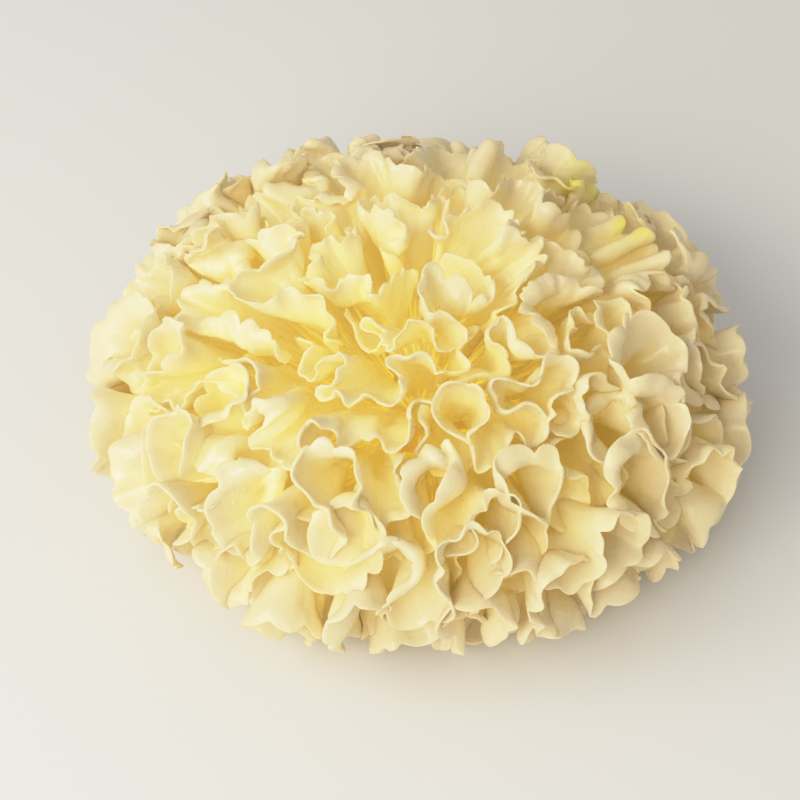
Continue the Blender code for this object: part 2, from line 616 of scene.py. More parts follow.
    def _downhill(self) -> Grid:
        """Works out how the margins sag: down along the dome's surface, most at the margin.

        Returns:
            The way that each point moves in a step.
        """
        along = self.sheets.along[None, :, None]
        turn = np.arctan2(self._home[..., 1], self._home[..., 0])
        level = np.broadcast_to(self.sheets.per_frond("level"), turn.shape)
        step, place = self.sag_step, self.sheets.dome.place
        way = place(level - step, turn, 1.0) - place(level + step, turn, 1.0)
        way /= np.linalg.norm(way, axis=-1, keepdims=True)
        even = 1 - ease(*self.sag_levels, self.sheets.per_frond("level"))
        least, more = self.sag_shares
        push = self.sag * (even + self.sag_spread * (least + more * even) * self.wander(self.sag_cells))
        return way * (push * ease(*self.sag_rows, along))[..., None]

    def _seek_room(self, points: Grid) -> Grid:
        """Works out how the margins lean: along the dome's surface, to where there is less flesh.

        Args:
            points: The sheets' points.

        Returns:
            The way that each point moves in a step.
        """
        along = self.sheets.along
        outer = np.flatnonzero(along > self.outer_rows)
        ways, _, place = self._map.locate(points[:, outer])
        weight = self._wide_grown[:, outer].mean(axis=2) * self._tall_grown[:, outer - 1].mean(axis=2)
        weight = np.broadcast_to(weight[:, :, None], place.shape[:3])
        cells = self._map.cells
        cell = np.round(place).astype(int)
        flesh = np.bincount((cell[..., 0] * cells + cell[..., 1]).ravel(), weight.ravel(), cells * cells)
        flesh = self._map.blur(flesh.reshape(cells, cells), self.lean_blur)
        slope = [-self._map.read(grid, place) for grid in np.gradient(flesh / flesh[flesh > 0].mean())]
        round_z = np.hypot(ways[..., 0], ways[..., 1]) + SMALL
        cos_turn, sin_turn = ways[..., 0] / round_z, ways[..., 1] / round_z
        down = slope[0] * cos_turn + slope[1] * sin_turn
        sideways = slope[1] * cos_turn - slope[0] * sin_turn
        across = down * ways[..., 2]
        lean = np.zeros(points.shape)
        lean[:, outer] = np.stack((
            across * cos_turn - sideways * sin_turn,
            across * sin_turn + sideways * cos_turn,
            -down * round_z,
        ), axis=-1)
        return lean * self.lean * ease(*self.lean_rows, along)[None, :, None, None]

    def grow(self) -> Grid:
        """Runs the growth.

        Returns:
            The grown mid sheets.
        """
        points, still = self.points, self.sheets.still_rows + 1
        along = self.sheets.along[None, :, None, None]
        normal = np.cross(np.gradient(points, axis=2), np.gradient(points, axis=1))
        normal /= np.linalg.norm(normal, axis=-1, keepdims=True) + TINY
        bumps = self.wander(self.seed_cells)[..., None]
        points += normal * bumps * self.seed_height * ease(*self.seed_rows, along)
        sag = self._downhill()
        before, pairs, lean = points.copy(), None, 0.0
        for step in range(self.steps):
            share = min(1.0, step / (self.steps * self.growing_share))
            wide = self._wide[0] + (self._wide_grown - self._wide[0]) * share
            tall = self._tall[0] + (self._tall_grown - self._tall[0]) * share
            move = (points - before) * self.momentum + (self._home - points) * self._keep + sag + lean
            before[...] = points
            points += move
            self._stretch(points, wide, tall)
            self._stiffen(points, wide, tall)
            if step % self.search_every == 0:
                pairs = self._find_pairs(points.reshape(-1, 3)[self._touching])
                self._share_room(pairs)
                lean = self._seek_room(points)
            self._push_apart(points, pairs)
            self.sheets.dome.hold(points, self._reach)
            points[:, :still] = self._home[:, :still]
        return points


@dataclass
class FrondSkin:
    """Turns one grown sheet into a thin solid with a lobed, toothed margin and a rounded rim."""

    still_lines: int = 3
    growing_lines: int = 15
    crowding: float = 1.3
    line_gap: float = 1.12 * MM
    rim_steps: int = 2
    root_half: float = 1.15 * MM
    body_half: float = 0.60 * MM
    margin_half: float = 0.32 * MM
    body_rows: Span = (0.0, 0.55)
    margin_rows: Span = (0.6, 1.0)
    half_spread: float = 0.34
    half_limits: Span = (0.6, 1.6)
    half_rows: Span = (0.5, 0.9)
    half_width: float = 7 * MM
    step_lengths: Span = (0.45, 1.55)
    step_sizes: Span = (0.2, 1.8)
    cut_rows: Span = (0.35, 1.0)
    lobe_width: float = 11 * MM
    lobe_depth: float = 2.6 * MM
    notch_power: float = 0.55
    tooth_width: float = 3.2 * MM
    tooth_depth: float = 1.1 * MM
    outer_teeth: float = 0.15
    toothed_range: Span = (-0.45, 0.7)
    ruffle_width: float = 4.4 * MM
    ruffle_height: float = 1.0 * MM
    ruffle_least: float = 0.5
    ruffle_reach: float = 5.0 * MM
    crown_start: float = 0.4
    crown_frill: float = 0.8
    bump_width: float = 5.0 * MM
    bump_height: float = 0.55 * MM
    crumple_width: float = 3.8 * MM
    crumple_height: float = 1.7 * MM
    crumple_range: Span = (-0.6, 0.6)
    seed: int = 500

    def build(self, sheets: FrondSheets, points: Grid, number: int) -> tuple[Grid, Grid, VertexValues]:
        """Makes one frond's vertices, faces and vertex values.

        Args:
            sheets: The fronds' layout.
            points: The grown mid sheets.
            number: The frond's number.

        Returns:
            Vertices, faces of four vertices each, and the values that its finish reads.
        """
        random = np.random.default_rng(self.seed + number)
        level = np.array(sheets.ring_of[number].level)
        frill = 1 + self.crown_frill * float(ease(self.crown_start, 1.0, level))
        control = points[number]
        last_row = len(sheets.along) - 1
        edge = np.linalg.norm(np.diff(control[-1], axis=0), axis=-1)
        lengths = np.concatenate(((0,), np.cumsum(edge)))
        column_at = np.linspace(0, sheets.columns - 1, int(lengths[-1] / self.line_gap))
        distance = np.interp(column_at, np.arange(sheets.columns), lengths)
        still = np.linspace(0, sheets.still_rows, self.still_lines, endpoint=False)
        share = 1 - np.linspace(1, 0, self.growing_lines) ** self.crowding
        row_at = np.concatenate((still, sheets.still_rows + (last_row - sheets.still_rows) * share))
        row_gaps = np.linalg.norm(np.diff(control, axis=0), axis=-1).mean(axis=1)
        tall = np.concatenate(((0,), np.cumsum(row_gaps)))
        row_length = tall[-1] - tall[-2]
        cut = self._margin_cut(random, distance, frill) / row_length
        row_at = row_at[:, None] - cut[None, :] * ease(*self.cut_rows, row_at / last_row)[:, None]
        column_at = np.broadcast_to(column_at[None, :], row_at.shape)
        mid = self._evaluate(control, row_at, column_at)
        from_margin = tall[-1] - np.interp(row_at, np.arange(last_row + 1), tall)
        mid = mid + self._normals(mid) * self._ruffles(random, distance, from_margin, frill)[..., None]
        outness = np.interp(row_at, np.arange(last_row + 1), sheets.along)
        half = self.root_half + (self.body_half - self.root_half) * ease(*self.body_rows, outness)
        half = half + (self.margin_half - self.body_half) * ease(*self.margin_rows, outness)
        uneven = self._noise(random, distance, self.half_width)[None, :] * ease(*self.half_rows, outness)
        half = half * np.clip(1 + self.half_spread * uneven, *self.half_limits)
        return self._thicken(mid, self._normals(mid), half, outness)

    def _scallops(self, random: np.random.Generator, distance: Grid, width: float) -> tuple[Grid, Grid]:
        """Uneven steps along the margin.

        Args:
            random: Where the steps' lengths and sizes come from.
            distance: Places along the margin.
            width: The mean length of a step.

        Returns:
            How many steps lie before each place, and a size for the nearest step's end.
        """
        count = max(2, int(distance[-1] / width))
        knots = np.cumsum(random.uniform(*self.step_lengths, count + 1))
        knots = (knots - knots[0]) / (knots[-1] - knots[0]) * distance[-1]
        steps = np.interp(distance, knots, np.arange(count + 1))
        return steps, random.uniform(*self.step_sizes, count + 1)[np.round(steps).astype(int)]

    def _margin_cut(self, random: np.random.Generator, distance: Grid, frill: float) -> Grid:
        """Works out how much the margin is cut back, for round lobes with notches and small teeth.

        Args:
            random: Where the lobes' and teeth's sizes come from.
            distance: Places along the margin.
            frill: How frilled the frond is, from 1 on the outer rings.

        Returns:
            How much is cut back at each place.
        """
        lobes, size = self._scallops(random, distance, self.lobe_width / frill)
        notch = size * (1 - np.abs(np.sin(math.pi * lobes)) ** self.notch_power)
        teeth, jag = self._scallops(random, distance, self.tooth_width)
        toothed = ease(*self.toothed_range, self._noise(random, distance, self.lobe_width))
        deep = self.tooth_depth * (self.outer_teeth + frill - 1)
        return self.lobe_depth * notch + deep * jag * toothed * np.sin(math.pi * teeth) ** 2

    @staticmethod
    def _noise(random: np.random.Generator, distance: Grid, width: float) -> Grid:
        """Smooth noise along the margin.

        Args:
            random: Where the bumps' heights come from.
            distance: Places along the margin.
            width: The width of a bump.

        Returns:
            The noise at each place.
        """
        cells = max(2, int(distance[-1] / width))
        knots = random.standard_normal(cells + 3)
        span, share = spline_spans(distance / distance[-1] * cells, cells + 1)
        return sum(knots[span + k] * weight for k, weight in enumerate(spline_weights(share)))

    def _ruffles(self, random: np.random.Generator, distance: Grid, from_margin: Grid, frill: float) -> Grid:
        """Waves the sheet near its margin, with low bumps all over it, and crumples the crown.

        Args:
            random: Where the waves and bumps come from.
            distance: Places along the margin.
            from_margin: How far each point is from the margin.
            frill: How frilled the frond is, from 1 on the outer rings.

        Returns:
            How far each point moves along its normal.
        """
        waves, _ = self._scallops(random, distance, self.ruffle_width)
        strength = self.ruffle_least + self._noise(random, distance, self.lobe_width)
        wave = np.sin(math.pi * waves) * strength
        ruffle = self.ruffle_height * wave[None, :] * np.exp(-from_margin / self.ruffle_reach)
        bumps = self.bump_height * self._bumps(random, distance, from_margin, self.bump_width)
        crumple = self._bumps(random, distance, from_margin, self.crumple_width)
        patchy = ease(*self.crumple_range, self._noise(random, distance, self.lobe_width))
        return ruffle + bumps + self.crumple_height * (frill - 1) * patchy * crumple

    @staticmethod
    def _bumps(random: np.random.Generator, distance: Grid, from_margin: Grid, width: float) -> Grid:
        """Smooth noise over a sheet.

        Args:
            random: Where the bumps' heights come from.
            distance: Places along the margin.
            from_margin: How far each point is from the margin.
            width: The width of a bump.

        Returns:
            The noise at each point.
        """
        rows, columns = from_margin.shape
        down, over = max(3, int(from_margin.max() / width)), max(3, int(distance[-1] / width))
        knots = random.standard_normal((down + 3, over + 3))
        row, row_share = spline_spans(np.linspace(0, down, rows), down + 1)
        column, column_share = spline_spans(np.linspace(0, over, columns), over + 1)
        return sum(
            knots[np.ix_(row + i, column + j)] * tall[:, None] * wide[None, :]
            for i, tall in enumerate(spline_weights(row_share))
            for j, wide in enumerate(spline_weights(column_share))
        )

    @staticmethod
    def _evaluate(control: Grid, row_at: Grid, column_at: Grid) -> Grid:
        """Finds points of a sheet between its control points, on a smooth B-spline surface.

        Args:
            control: The control points.
            row_at: Places along the rows' direction, where whole numbers are rows.
            column_at: Places along the columns' direction.

        Returns:
            The points.
        """
        framed = np.concatenate((2 * control[:1] - control[1:2], control, 2 * control[-1:] - control[-2:-1]))
        left = 2 * framed[:, :1] - framed[:, 1:2]
        right = 2 * framed[:, -1:] - framed[:, -2:-1]
        framed = np.concatenate((left, framed, right), axis=1)
        row, row_share = spline_spans(row_at, control.shape[0])
        column, column_share = spline_spans(column_at, control.shape[1])
        return sum(
            framed[row + i, column + j] * (down * over)[..., None]
            for i, down in enumerate(spline_weights(row_share))
            for j, over in enumerate(spline_weights(column_share))
        )

    @staticmethod
    def _normals(mid: Grid) -> Grid:
        """Unit normals of a sheet: the way of its columns crossed with the way of its rows."""
        normal = np.cross(np.gradient(mid, axis=1), np.gradient(mid, axis=0))
        return normal / (np.linalg.norm(normal, axis=-1, keepdims=True) + TINY)

    def _thicken(self, mid: Grid, normal: Grid, half: Grid, outness: Grid) -> tuple[Grid, Grid, VertexValues]:
        """Gives the sheet two faces and a round rim, whose lines turn from one face to the other.

        Args:
            mid: The mid sheet's points.
            normal: Its normals.
            half: Half its thickness at each point.
            outness: Each point's share of the way from root to margin.

        Returns:
            Vertices, faces of four vertices each, and the values that the finish reads.
        """
        steps = self.rim_steps
        rows, columns = mid.shape[:2]
        row, column = np.arange(-steps, rows + steps), np.arange(-steps, columns + steps)
        past_row = np.minimum(row, 0) + np.maximum(row - rows + 1, 0)
        past_column = np.minimum(column, 0) + np.maximum(column - columns + 1, 0)
        pick = np.ix_(np.clip(row, 0, rows - 1), np.clip(column, 0, columns - 1))
        past = np.maximum(np.abs(past_row)[:, None], np.abs(past_column)[None, :])
        angle = math.pi / 2 * (1 - past / steps)

        def unit(way: Grid) -> Grid:
            """The same ways, each of length 1."""
            return way / (np.linalg.norm(way, axis=-1, keepdims=True) + TINY)

        up, over = unit(np.gradient(mid, axis=0)), unit(np.gradient(mid, axis=1))
        outward = unit(up[pick] * past_row[:, None, None] + over[pick] * past_column[None, :, None])
        centre = mid[pick] + outward * (half[pick] * np.cos(angle))[..., None]
        lift = normal[pick] * (half[pick] * np.sin(angle))[..., None]
        top, bottom = centre + lift, centre - lift
        number = np.arange(past.size).reshape(past.shape)
        own = past < steps
        under = number.copy()
        under[own] = past.size + np.arange(own.sum())
        faces = [
            np.stack((grid[:-1, :-1], grid[:-1, 1:], grid[1:, 1:], grid[1:, :-1]), axis=-1).reshape(-1, 4)
            for grid in (number, under)
        ]
        rim = np.clip(past / steps, 0, 1)
        inner = 1 - outness[pick]
        values = {
            VertexValue.INNER: np.concatenate((inner.ravel(), inner[own])),
            VertexValue.RIM: np.concatenate((rim.ravel(), rim[own])),
        }
        vertices = np.concatenate((top.reshape(-1, 3), bottom[own]))
        return vertices, np.concatenate((faces[0], faces[1][:, ::-1])), values


def add_object(name: str, data: bpy.types.ID) -> bpy.types.Object:
    """Adds an object with this mesh, light or camera to the scene.

    Args:
        name: The object's name.
        data: What it shows.

    Returns:
        The object.
    """
    added = bpy.data.objects.new(name, data)
    bpy.context.scene.collection.objects.link(added)
    return added


def make_mesh(name: str, vertices: Grid, faces: Grid, values: VertexValues) -> bpy.types.Object:
    """Makes a mesh object of faces with four vertices each.

    Args:
        name: The object's name.
        vertices: One row of X, Y and Z for each vertex.
        faces: One row of vertex numbers for each face.
        values: The numbers that its finish reads from each vertex.

    Returns:
        The object, linked to the scene.
    """
    mesh = bpy.data.meshes.new(name)
    mesh.vertices.add(len(vertices))
    mesh.vertices.foreach_set("co", vertices.astype(np.float32).ravel())
    mesh.loops.add(faces.size)
    mesh.loops.foreach_set("vertex_index", faces.astype(np.int32).ravel())
    mesh.polygons.add(len(faces))
    mesh.polygons.foreach_set("loop_start", np.arange(0, faces.size, faces.shape[1], dtype=np.int32))
    mesh.update(calc_edges=True)
    mesh.shade_smooth()
    for value, numbers in values.items():
        attribute = mesh.attributes.new(value.value, "FLOAT", "POINT")
        attribute.data.foreach_set("value", numbers.astype(np.float32))
    return add_object(name, mesh)


class NodeTree:
    """A tree of nodes, with one way to add any node."""

    def __init__(self, tree: bpy.types.NodeTree) -> None:
        """Takes a tree and empties it."""
        self.tree = tree
        tree.nodes.clear()

    def node(self, kind: str, settings: dict | None = None, **sockets: object) -> bpy.types.Node:
        """Adds a node.

        Args:
            kind: The node's type.
            settings: Its properties, set first.
            sockets: Values or links for its inputs, by name with _ for a space, or n0, n1 by number.

        Returns:
            The node.
        """
        node = self.tree.nodes.new(kind)
        for key, value in (settings or {}).items():
            setattr(node, key, value)
        for key, value in sockets.items():
            number = key[1:] if key[0] == "n" and key[1:].isdigit() else None
            socket = node.inputs[int(number)] if number else node.inputs[key.replace("_", " ")]
            if isinstance(value, Signal):
                value = value.socket
            if isinstance(value, bpy.types.NodeSocket):
                self.tree.links.new(value, socket)
            else:
                socket.default_value = value
        return node


class Shader(NodeTree):
    """A material's node tree."""

    def __init__(self, name: str) -> None:
        """Makes a material with an empty node tree.

        Args:
            name: The material's name.
        """
        self.material = bpy.data.materials.new(name)
        self.material.use_nodes = True
        super().__init__(self.material.node_tree)

    def finish(self, surface: bpy.types.Node) -> bpy.types.Material:
        """Ends the tree with this shader node and gives the material."""
        self.node("ShaderNodeOutputMaterial", None, Surface=surface.outputs["BSDF"])
        return self.material

    def value(self, kind: str, output: str, settings: dict | None = None, **sockets: object) -> "Signal":
        """Adds a node and wraps one of its outputs."""
        return Signal(self, self.node(kind, settings, **sockets).outputs[output])

    def blend(self, share: "Signal", low: object, high: object) -> bpy.types.NodeSocket:
        """Mixes a share of the second colour into the first. Both are colours or links."""
        settings = {"data_type": "RGBA", "blend_type": "MIX", "clamp_factor": True}
        return self.node("ShaderNodeMix", settings, n0=share, n6=low, n7=high).outputs[2]

    def place(self) -> bpy.types.NodeSocket:
        """The place on the piece in its own coordinates."""
        return self.node("ShaderNodeTexCoord").outputs["Object"]

    def away(self, centre: Triple) -> "Signal":
        """The distance from this point."""
        settings = {"operation": "DISTANCE"}
        return self.value("ShaderNodeVectorMath", "Value", settings, n0=self.place(), n1=centre)

    def read(self, value: VertexValue) -> "Signal":
        """The number that the piece's vertices carry."""
        return self.value("ShaderNodeAttribute", "Fac", {"attribute_name": value.value})

    def noise(self, scale: float, detail: float = 3.0) -> "Signal":
        """Smooth noise from 0 to 1 with features of about 1 / scale."""
        sockets = {"Vector": self.place(), "Scale": scale, "Detail": detail}
        return self.value("ShaderNodeTexNoise", "Fac", None, **sockets)


class Signal:
    """A number in a shader, which Python arithmetic turns into Math nodes."""

    def __init__(self, shader: Shader, socket: bpy.types.NodeSocket) -> None:
        """Wraps a socket of the shader."""
        self.shader, self.socket = shader, socket

    def _math(self, operation: str, *values: object) -> "Signal":
        """Adds a Math node."""
        sockets = {f"n{number}": value for number, value in enumerate(values)}
        return self.shader.value("ShaderNodeMath", "Value", {"operation": operation}, **sockets)

    def __add__(self, other: object) -> "Signal":
        """Adds."""
        return self._math("ADD", self, other)

    def __radd__(self, other: object) -> "Signal":
        """Adds to a number."""
        return self._math("ADD", other, self)

    def __sub__(self, other: object) -> "Signal":
        """Subtracts."""
        return self._math("SUBTRACT", self, other)

    def __rsub__(self, other: object) -> "Signal":
        """Subtracts from a number."""
        return self._math("SUBTRACT", other, self)

    def __mul__(self, other: object) -> "Signal":
        """Multiplies."""
        return self._math("MULTIPLY", self, other)

    def __rmul__(self, other: object) -> "Signal":
        """Multiplies a number."""
        return self._math("MULTIPLY", other, self)

    def ease(self, low: float, high: float) -> "Signal":
        """A smooth step from 0 at low to 1 at high. With low above high it falls."""
        settings = {"interpolation_type": "SMOOTHSTEP"}
        return self.shader.value("ShaderNodeMapRange", "Result", settings, n0=self, n1=low, n2=high)


@dataclass(frozen=True)
class Stain:
    """A patch of another colour on the margins, by its place."""

    centre: Triple
    radius: float


@dataclass(frozen=True)
class Flesh:
    """What every kind of the fungus's flesh has: a grain, light that scatters inside it, and a painted golden
    glow.

    A pair of numbers is where a step starts and where it is full.
    """

    name: str
    glow: Colour
    mottle_scale: float
    grain_scale: float
    roughness: float
    roughness_spread: float
    bump_strength: float
    bump_height: float
    scatter_weight: float
    scatter_size: float
    scatter_colour: Triple
    no_glow: Colour = (0, 0, 0, 1)

    def surface(self, shader: Shader, colour: object, fine: Signal, height: Signal, glowing: Signal,
                **sockets: object) -> bpy.types.Material:
        """Ends the finish's tree.

        Args:
            shader: The tree.
            colour: The flesh's colour.
            fine: The noise that varies the roughness.
            height: The grain's height.
            glowing: How much of the painted golden glow it has.
            sockets: Values for other inputs of its shader.

        Returns:
            The material.
        """
        strength = {"Strength": self.bump_strength, "Distance": self.bump_height}
        bump = shader.node("ShaderNodeBump", None, **strength, Height=height)
        # The emission is a painted glow, not a lamp: it stands in for light that has passed through the
        # flesh.
        flesh = shader.node(
            "ShaderNodeBsdfPrincipled",
            {"subsurface_method": "BURLEY"},
            Base_Color=colour,
            Roughness=self.roughness + (fine - 0.5) * self.roughness_spread,
            Subsurface_Weight=self.scatter_weight,
            Subsurface_Radius=self.scatter_colour,
            Subsurface_Scale=self.scatter_size,
            Emission_Color=shader.blend(glowing, self.no_glow, self.glow),
            Emission_Strength=1.0,
            Normal=bump.outputs["Normal"],
            **sockets,
        )
        shader.material.cycles.emission_sampling = "NONE"
        return shader.finish(flesh)


@dataclass(frozen=True)
class FrondFlesh(Flesh):
    """Moist translucent flesh: ivory at the margins, painted golden in the folds, with a few lemon-yellow
    patches.

    The depths are in millimetres below the outermost flesh. The golden tone and the glow of the deep folds
    are painted light, which stands in for light that has passed through the flesh. Away from the lit centre
    the shallow flesh has painted shade, and the rim is painted a little darker to offset the light that it
    catches.
    """

    name: str = "frond_flesh"
    # The rim colour is painted shade: a little darker than the margin, to offset the extra light that the
    # thin rounded rim catches
    rim: Colour = (0.84, 0.71, 0.41, 1)
    margin: Colour = (0.87, 0.715, 0.42, 1)
    # body and deep are painted light: the golden tone of light passed through the flesh, deeper in the folds
    body: Colour = (0.91, 0.755, 0.42, 1)
    deep: Colour = (0.95, 0.785, 0.39, 1)
    # Painted shade: greyer and darker, for flesh turned from the light with shade showing through it
    pale: Colour = (0.77, 0.61, 0.38, 1)
    lemon: Colour = (0.80, 0.70, 0.08, 1)
    # A painted glow, which stands in for light passed through the flesh
    glow: Colour = (0.150, 0.112, 0.027, 1)
    stains: tuple[Stain, ...] = (
        Stain((0.040, 0.043, 0.056), 13 * MM),
        Stain((0.052, 0.018, 0.060), 12 * MM),
    )
    stain_wander: float = 0.010
    stain_full: float = 0.3
    stain_margin: Span = (0.12, 0.0)
    stain_within: float = 0.25
    stain_share: float = 0.9
    # Painted light: towards this place, where the light comes in, the flesh is more golden and glows more
    gold_centre: Triple = (-0.025, -0.018, 0.056)
    gold_reach: Span = (0.085, 0.015)
    mottle_scale: float = 90.0
    cloud_scale: float = 28.0
    grain_scale: float = 230.0
    fine_scale: float = 1300.0
    mottle_depth: float = 3.0
    cloud_depth: float = 4.0
    gold_depth: float = 4.0
    # Depths where the painted golden light of the folds starts and where it is full
    body_depths: Span = (3.0, 13.0)
    deep_depths: Span = (8.0, 22.0)
    pale_depths: Span = (9.0, 2.0)
    # Depths where the painted glow of the folds starts and where it is full
    glow_depths: Span = (3.0, 16.0)
    least_glow: float = 0.40
    pale_clouds: Span = (0.35, 0.65)
    pale_share: float = 0.75
    rim_share: float = 0.15
    rim_inner: Span = (0.035, 0.0)
    speck: Colour = (0.20, 0.08, 0.02, 1)
    speck_scale: float = 55.0
    speck_share: float = 0.035
    speck_choice: float = 0.9
    speck_size: float = 0.022
    speck_full: float = 0.6
    speck_wander: float = 0.02
    roughness: float = 0.34
    roughness_spread: float = 0.5
    coat: float = 0.60
    coat_roughness: float = 0.12
    coat_clouds: Span = (0.3, 0.6)
    bump_strength: float = 0.6
    bump_height: float = 1.0 * MM
    fine_share: float = 0.14
    refraction: float = 1.37
    scatter_weight: float = 0.85
    scatter_size: float = 2.0 * MM
    scatter_colour: Triple = (0.75, 0.9, 1.0)

    def material(self) -> bpy.types.Material:
        """Builds the finish.

        Returns:
            The material.
        """
        shader = Shader(self.name)
        depth, inner, rim = (
            shader.read(value) for value in (VertexValue.DEPTH, VertexValue.INNER, VertexValue.RIM)
        )
        mottle = shader.noise(self.mottle_scale)
        cloud = shader.noise(self.cloud_scale, 2.0)
        # Painted light: nearer the lit centre the flesh is more golden and glows more. Away from it, it takes
        # painted shade.
        painted_light_warmth = shader.away(self.gold_centre).ease(*self.gold_reach)
        # Painted light: the colour turns from ivory to golden the deeper the flesh lies in the folds,
        # standing in for light passed through the flesh. The noise makes the tone uneven.
        shade = depth + (mottle - 0.5) * self.mottle_depth + (cloud - 0.5) * self.cloud_depth
        shade = shade + (painted_light_warmth - 0.5) * self.gold_depth
        colour = shader.blend(shade.ease(*self.body_depths), self.margin, self.body)
        colour = shader.blend(shade.ease(*self.deep_depths), colour, self.deep)
        # Painted shade: away from the lit centre, the shallow flesh turns greyer and darker in patches.
        painted_shade_mask = (1 - painted_light_warmth) * cloud.ease(*self.pale_clouds) * shade.ease(*self.pale_depths)
        colour = shader.blend(painted_shade_mask * self.pale_share, colour, self.pale)
        # Painted shade: the rim and the strip inside it are a little darker, which offsets the extra light
        # that the thin rim catches.
        rim_painted_shade = rim * self.rim_share + inner.ease(*self.rim_inner) * self.rim_share
        colour = shader.blend(rim_painted_shade, colour, self.rim)
        for stain in self.stains:
            ragged = shader.away(stain.centre) + (mottle - 0.5) * self.stain_wander
            near_margin = self.stain_within + (1 - self.stain_within) * inner.ease(*self.stain_margin)
            patch = ragged.ease(stain.radius, stain.radius * self.stain_full) * near_margin
            colour = shader.blend(patch * self.stain_share, colour, self.lemon)
        colour = shader.blend(self._specks(shader, mottle), colour, self.speck)
        # Painted glow: the deep folds give off a little golden light, most near the lit centre.
        glowing = shade.ease(*self.glow_depths) * (self.least_glow + (1 - self.least_glow) * painted_light_warmth)
        fine = shader.noise(self.fine_scale, 2.0)
        height = shader.noise(self.grain_scale) + fine * self.fine_share
        coat = self.coat * cloud.ease(*self.coat_clouds)
        more = {"Coat_Weight": coat, "Coat_Roughness": self.coat_roughness, "IOR": self.refraction}
        return self.surface(shader, colour, fine, height, glowing, **more)

    def _specks(self, shader: Shader, mottle: Signal) -> Signal:
        """Places a few ragged specks.

        Args:
            shader: The finish's tree.
            mottle: The noise that makes their edges ragged.

        Returns:
            1 on a speck, and 0 elsewhere.
        """
        dots = shader.node("ShaderNodeTexVoronoi", None, Vector=shader.place(), Scale=self.speck_scale)
        apart = Signal(shader, dots.outputs["Distance"]) + (mottle - 0.5) * self.speck_wander
        chance = Signal(shader, dots.outputs["Color"])
        chosen = chance.ease(self.speck_share, self.speck_share * self.speck_choice)
        return apart.ease(self.speck_size, self.speck_size * self.speck_full) * chosen


@dataclass(frozen=True)
class BaseFlesh(Flesh):
    """Dense straw-coloured flesh, paler and full of small pores on the cut, browner round its edge.

    Above the shoulder, among the roots of the fronds, it has the same painted glow as the deep folds, which
    stands in for light passed through the flesh.
    """

    name: str = "base_flesh"
    side: Colour = (0.95, 0.68, 0.22, 1)
    # Painted shade: a little darker and more golden, in the grooves down the side
    groove: Colour = (0.92, 0.64, 0.22, 1)
    cut: Colour = (0.90, 0.74, 0.42, 1)
    pore: Colour = (0.55, 0.36, 0.14, 1)
    skin: Colour = (0.42, 0.25, 0.10, 1)
    # A painted glow, which stands in for light passed through the flesh
    glow: Colour = (0.200, 0.130, 0.025, 1)
    cut_height: float = 0.5 * MM
    cut_radius: float = 26 * MM
    shoulder: float = 6 * MM
    mottle_scale: float = 160.0
    grain_scale: float = 700.0
    groove_folds: Span = (0.6, -0.6)
    groove_mottle: float = 0.6
    pores: Span = (0.50, 0.36)
    pore_share: float = 0.8
    edge_start: float = 0.86
    edge_mottle: float = 0.8
    edge_share: float = 0.8
    roughness: float = 0.52
    roughness_spread: float = 0.3
    bump_strength: float = 0.5
    bump_height: float = 0.8 * MM
    scatter_weight: float = 0.6
    scatter_size: float = 2.5 * MM
    scatter_colour: Triple = (1.0, 0.7, 0.35)

    def material(self) -> bpy.types.Material:
        """Builds the finish.

        Returns:
            The material.
        """
        shader = Shader(self.name)
        height = shader.value("ShaderNodeSeparateXYZ", "Z", None, Vector=shader.place())
        mottle, grain = shader.noise(self.mottle_scale), shader.noise(self.grain_scale, 4.0)
        # Painted shade: the grooves down the side are a little darker and more golden.
        groove = shader.read(VertexValue.FOLD).ease(*self.groove_folds)
        colour = shader.blend(groove + (mottle - 0.5) * self.groove_mottle, self.side, self.groove)
        face = shader.blend(grain.ease(*self.pores) * self.pore_share, self.cut, self.pore)
        edge = shader.away((0, 0, 0)).ease(self.cut_radius * self.edge_start, self.cut_radius)
        edge = (edge + (mottle - 0.5) * self.edge_mottle) * self.edge_share
        face = shader.blend(edge, face, self.skin)
        colour = shader.blend(height.ease(self.cut_height * 2, self.cut_height), colour, face)
        # Painted glow above the shoulder, among the roots of the fronds.
        above = height.ease(self.shoulder, self.shoulder * 2)
        return self.surface(shader, colour, grain, grain + mottle, above)


@dataclass(frozen=True)
class CrumbBrown:
    """The dry brown stuff that the fungus grew on."""

    name: str = "growing_medium"
    dark: Colour = (0.10, 0.05, 0.02, 1)
    light: Colour = (0.32, 0.19, 0.09, 1)
    grain_scale: float = 900.0
    roughness: float = 0.85

    def material(self) -> bpy.types.Material:
        """Builds the finish.

        Returns:
            The material.
        """
        shader = Shader(self.name)
        colour = shader.blend(shader.noise(self.grain_scale), self.dark, self.light)
        sockets = {"Base_Color": colour, "Roughness": self.roughness}
        return shader.finish(shader.node("ShaderNodeBsdfPrincipled", None, **sockets))


